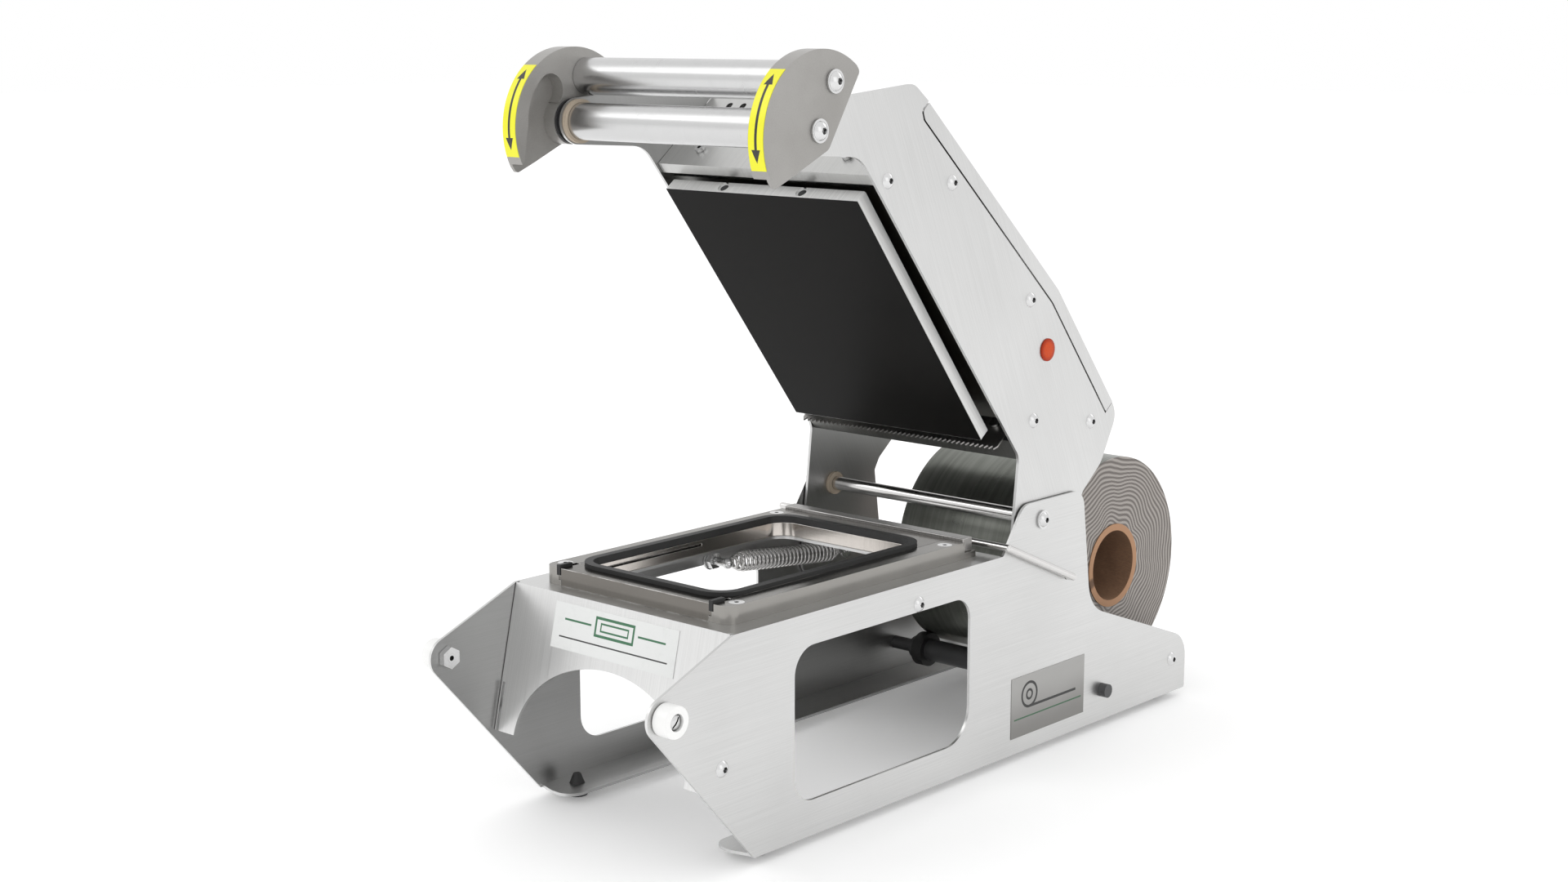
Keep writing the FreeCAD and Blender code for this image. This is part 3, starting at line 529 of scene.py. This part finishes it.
nodeLooks = {
    "baseSheet": ["base_chassis"],
    "armSheet": ["arm_plate_left", "arm_plate_right", "arm_cover"],
    "shadedWallSheet": ["arm_front_wall"],
    "shadedInnerSheet": ["heater_carrier", "cross_plate"],
    "rubber": ["rubber_feet", "seal_ring", "seal_strips", "support_roller_rings"],
    "frontLabel": ["front_label"],
    "sideLabel": ["side_label"],
    "mould": ["tray_mould"],
    "rail": ["mould_rail_left", "mould_rail_right"],
    "bar": ["rear_cutting_bar"],
    "plate": ["heating_plate"],
    "bolt": ["mould_screws", "mould_nuts", "latch_roller_studs", "latch_stud_nuts", "panel_screws",
             "panel_nuts", "rear_rod_screws", "hinge_screws", "hinge_washers", "spring_front_bolt",
             "front_wall_screws", "knife_bolts", "guide_pins", "arm_screws", "spring_rear_bolt",
             "cheek_screws", "cheek_washers"],
    "tube": ["grip_tube", "pivot_tube"],
    "rod": ["hinge_rod", "film_guide", "rear_support_rod"],
    "spring": ["return_spring"],
    "blade": ["serrated_knife"],
    "lens": ["indicator_lamp"],
    "black": ["temperature_regulator", "pivot_spacers", "plate_end_screws"],
    "graphite": ["support_roller"],
    "beige": ["hinge_bushes", "handle_bushes"],
    "cloth": ["nonstick_sheet"],
    "mica": ["heater_elements", "insulation_pad"],
    "cheek": ["cheek_left", "cheek_right", "tube_plugs"],
    "arrow": ["arrow_labels"],
    "film": ["film_roll"],
    "card": ["film_core"],
    "white": ["latch_roller_left", "latch_roller_right"],
}
lookOfNode = {node: look for look, members in nodeLooks.items() for node in members}
bodyOfNode = {node: body for body, members in record["behaviour"]["bodies"].items() for node in members}


def clearSelection():
    for thing in bpy.context.selected_objects:
        thing.select_set(False)


def makeActive(piece):
    clearSelection()
    piece.select_set(True)
    bpy.context.view_layer.objects.active = piece


def settle(piece):
    makeActive(piece)
    bpy.ops.object.transform_apply(location=True, rotation=True, scale=True)


def openEdit(piece, kind="FACE"):
    makeActive(piece)
    bpy.ops.object.mode_set(mode="EDIT")
    bpy.ops.mesh.select_mode(type=kind)
    bpy.ops.mesh.select_all(action="DESELECT")


def closeEdit():
    bpy.ops.object.mode_set(mode="OBJECT")


def pickFaces(piece, rule):
    mesh = bmesh.from_edit_mesh(piece.data)
    for face in mesh.faces:
        face.select_set(bool(rule(face.calc_center_median(), face.normal)))
    bmesh.update_edit_mesh(piece.data)


def pickEdges(piece, rule):
    mesh = bmesh.from_edit_mesh(piece.data)
    for edge in mesh.edges:
        edge.select_set(bool(rule(edge)))
    bmesh.update_edit_mesh(piece.data)


def applyModifier(piece, kind, **settings):
    makeActive(piece)
    modifier = piece.modifiers.new(kind.lower(), kind)
    for key, value in settings.items():
        setattr(modifier, key, value)
    bpy.ops.object.modifier_apply(modifier=modifier.name)


def smoothSides(piece, degrees):
    makeActive(piece)
    bpy.ops.object.shade_smooth_by_angle(angle=math.radians(degrees))


def standFor(piece, name, node, look):
    piece.name = name
    piece.data.name = name
    piece.data.materials.clear()
    piece.data.materials.append(looks[look])
    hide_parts(node)


brokenEdges = {
    "segments": 2,
    "sharperThan": 28,                     # degrees
    "smoothBelow": 40,                     # degrees
    "weld": 0.004,
    "pieces": {                            # node, new name and width of the round
        "cheek_left": ("left_cheek", 0.5),
        "cheek_right": ("right_cheek", 0.5),
        "tray_mould": ("mould_block", 0.3),
        "mould_rail_left": ("left_rail", 0.4),
        "mould_rail_right": ("right_rail", 0.4),
        "rear_cutting_bar": ("cutting_bar", 0.4),
        "heating_plate": ("plate_block", 0.6),
    },
}


def softened(node, name, width):
    # a copy of a node with its edges broken by a small round
    piece = nodes[node].copy()
    piece.data = nodes[node].data.copy()
    piece.parent = None
    piece.matrix_world = Matrix.Identity(4)
    bpy.context.collection.objects.link(piece)
    openEdit(piece, "VERT")
    bpy.ops.mesh.select_all(action="SELECT")
    bpy.ops.mesh.remove_doubles(threshold=brokenEdges["weld"] * millimetre)
    closeEdit()
    piece.data.materials.append(looks["lens"])         # the rounds take a second slot for a moment
    spare = len(piece.data.materials) - 1
    applyModifier(piece, "BEVEL", width=width * millimetre, segments=brokenEdges["segments"],
                  limit_method="ANGLE", angle_limit=math.radians(brokenEdges["sharperThan"]),
                  miter_outer="MITER_ARC", material=spare)
    broken = piece.data.attributes.new("brokenEdge", "FLOAT", "FACE")
    for k, face in enumerate(piece.data.polygons):
        broken.data[k].value = float(face.material_index == spare)
        face.material_index = 0
    smoothSides(piece, brokenEdges["smoothBelow"])
    applyModifier(piece, "WEIGHTED_NORMAL", weight=50, keep_sharp=True)
    standFor(piece, name, node, lookOfNode[node])
    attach(piece, bodyOfNode[node])


def makeSpring():
    spring = {"turns": 29, "wire": 1.0, "radius": 6.8, "endRadius": 2.4, "endLength": 13.0, "hookGap": 5.2,
              "eye": 4.6, "hookWire": 0.95, "wirePoints": 10, "turnSteps": 22, "bendFrom": 0.30,
              "smoothBelow": 60}
    gap = spring["hookGap"] * millimetre
    start, finish = frontHook.copy(), rearHook.copy()
    start.x = finish.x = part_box("return_spring")[0].x + (spring["radius"] + spring["wire"]) * millimetre
    length = (finish - start).length - 2 * gap
    radius = spring["radius"] * millimetre
    wire = spring["wire"] * millimetre
    clearSelection()
    bpy.ops.mesh.primitive_circle_add(vertices=spring["wirePoints"], radius=wire, location=(radius, 0, gap),
                                      rotation=(math.pi / 2, 0, 0))
    coil = bpy.context.object
    settle(coil)
    applyModifier(coil, "SCREW", axis="Z", angle=2 * math.pi, screw_offset=length / spring["turns"],
                  iterations=spring["turns"], steps=spring["turnSteps"], render_steps=spring["turnSteps"],
                  use_merge_vertices=False)
    endLength = spring["endLength"] * millimetre
    endRadius = spring["endRadius"] * millimetre
    for vertex in coil.data.vertices:
        place = vertex.co
        fromEnd = min(place.z - gap, gap + length - place.z) / endLength
        share = max(0.0, min(1.0, fromEnd))
        share = share * share * (3 - 2 * share)
        wanted = endRadius + (radius - endRadius) * share
        reach = math.hypot(place.x, place.y)
        scale = (wanted + reach - radius) / reach
        place.x *= scale
        place.y *= scale
    openEdit(coil, "EDGE")
    bpy.ops.mesh.select_all(action="SELECT")
    bpy.ops.mesh.fill_holes(sides=0)
    bpy.ops.mesh.select_all(action="SELECT")
    bpy.ops.mesh.normals_make_consistent(inside=False)
    closeEdit()
    parts = [coil]
    for end in (0.0, length + 2 * gap):
        bpy.ops.mesh.primitive_torus_add(location=(0, 0, end), rotation=(0, math.pi / 2, 0),
                                         major_segments=32, minor_segments=spring["wirePoints"],
                                         major_radius=spring["eye"] * millimetre,
                                         minor_radius=spring["hookWire"] * millimetre)
        hook = bpy.context.object
        settle(hook)
        parts.append(hook)
    clearSelection()
    for part in parts:
        part.select_set(True)
    bpy.context.view_layer.objects.active = coil
    bpy.ops.object.join()
    direction = (finish - start).normalized()
    turn = direction.to_track_quat("Z", "X")
    coil.rotation_mode = "QUATERNION"
    coil.rotation_quaternion = turn
    coil.location = start
    settle(coil)
    smoothSides(coil, spring["smoothBelow"])
    standFor(coil, "coil_spring", "return_spring", "spring")
    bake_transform(coil)


def makeLens():
    lens = {"radius": 7.9, "collar": 0.9, "rim": 1.0, "step": 0.1, "steps": 6, "dome": 0.2, "proud": 1.2,
            "barrel": 14.0, "barrelRadius": 6.9, "round": 0.25, "sharperThan": 50, "smoothBelow": 45}
    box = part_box("indicator_lamp")
    centre = middle("indicator_lamp")
    face = box[1].x - lens["proud"] * millimetre
    collar = lens["collar"] * millimetre
    bpy.ops.mesh.primitive_cylinder_add(vertices=64, radius=lens["radius"] * millimetre, depth=collar,
                                        location=(face + collar / 2, centre.y, centre.z),
                                        rotation=(0, math.pi / 2, 0))
    piece = bpy.context.object
    settle(piece)
    openEdit(piece)
    pickFaces(piece, lambda place, normal: normal.x > 0.9)
    bpy.ops.mesh.inset(thickness=lens["rim"] * millimetre)
    inner = (lens["radius"] - lens["rim"]) * millimetre
    bpy.ops.transform.translate(value=(lens["step"] * millimetre, 0, 0))
    last = inner
    quarter = math.pi / 2 / (lens["steps"] + 0.6)
    for k in range(1, lens["steps"] + 1):
        reach = inner * math.cos(quarter * k)
        rise = lens["dome"] * millimetre * (math.sin(quarter * k) - math.sin(quarter * (k - 1)))
        bpy.ops.mesh.inset(thickness=last - reach)
        bpy.ops.transform.translate(value=(rise, 0, 0))
        last = reach
    pickFaces(piece, lambda place, normal: normal.x < -0.9)
    bpy.ops.mesh.inset(thickness=(lens["radius"] - lens["barrelRadius"]) * millimetre)
    bpy.ops.mesh.extrude_region_move(TRANSFORM_OT_translate={"value": (-lens["barrel"] * millimetre, 0, 0)})
    closeEdit()
    applyModifier(piece, "BEVEL", width=lens["round"] * millimetre, segments=2, limit_method="ANGLE",
                  angle_limit=math.radians(lens["sharperThan"]))
    smoothSides(piece, lens["smoothBelow"])
    standFor(piece, "signal_lens", "indicator_lamp", "lens")
    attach(piece, "arm")


def makeFilmRoll():
    roll = {"vertices": 144, "layers": 46, "step": 0.16, "core": 31.55, "rimReach": 0.1, "smoothBelow": 30}
    source = random.Random(7)
    low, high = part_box("film_roll")
    radius = (high.z - low.z) / 2
    half = high.x
    bpy.ops.mesh.primitive_cylinder_add(vertices=roll["vertices"], radius=radius, depth=2 * half,
                                        end_fill_type="NOTHING", location=rollCentre,
                                        rotation=(0, math.pi / 2, 0))
    piece = bpy.context.object
    settle(piece)
    centre = (rollCentre.x, rollCentre.y, rollCentre.z)
    core = roll["core"] * millimetre
    drop = (radius - core) / roll["layers"]
    for side in (-1, 1):
        openEdit(piece, "EDGE")
        pickEdges(piece, lambda edge: edge.is_boundary
                  and all(v.co.x * side > half - roll["rimReach"] * millimetre for v in edge.verts))
        reach = radius
        depth = 0.0
        for k in range(roll["layers"]):
            wanted = source.uniform(0.0, roll["step"]) * millimetre
            if k == roll["layers"] - 1:
                wanted = 0.0
            share = (reach - drop) / reach
            bpy.ops.mesh.extrude_edges_move(TRANSFORM_OT_translate={"value": (side * (depth - wanted), 0, 0)})
            bpy.ops.transform.resize(value=(1, share, share), center_override=centre)
            depth = wanted
            reach -= drop
        closeEdit()
    openEdit(piece, "EDGE")
    pickEdges(piece, lambda edge: edge.is_boundary)
    bpy.ops.mesh.bridge_edge_loops()
    bpy.ops.mesh.select_all(action="SELECT")
    bpy.ops.mesh.normals_make_consistent(inside=False)
    closeEdit()
    smoothSides(piece, roll["smoothBelow"])
    standFor(piece, "wound_film", "film_roll", "film")
    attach(piece, "film_roll_unit")


def dressNodes():
    for node, look in lookOfNode.items():
        for slot in nodes[node].material_slots:
            slot.material = looks[look]


def makeStage():
    bpy.ops.mesh.primitive_plane_add(size=stageSettings["floorSize"], location=(0, 0, 0))
    floor = bpy.context.object
    floor.name = "floor"
    tone = stageSettings["floorTone"]
    look = Look("paleFloor", Roughness=0.9, Base_Color=rgb(tone, tone, tone),
                Emission_Color=rgb(1.0, 1.0, 1.0), Emission_Strength=stageSettings["floorGlow"])
    floor.data.materials.append(look.material)
    world = bpy.context.scene.world or bpy.data.worlds.new("studio")
    bpy.context.scene.world = world
    world.use_nodes = True
    background = world.node_tree.nodes["Background"]
    background.inputs["Color"].default_value = rgb(1.0, 1.0, 1.0)
    background.inputs["Strength"].default_value = stageSettings["worldLevel"]
    for name, (place, size, power) in stageSettings["lamps"].items():
        addSoftLight(name, place, size, power)
    bpy.context.scene.view_settings.view_transform = "Standard"


addCamera()
makeStage()
looks = buildMaterials()
dressNodes()
print("stage: camera, floor, lights and finishes")
makeSpring()
makeLens()
makeFilmRoll()
print("stage: spring, lens and film roll")
for node, (name, width) in brokenEdges["pieces"].items():
    softened(node, name, width)
print("stage: softened pieces")
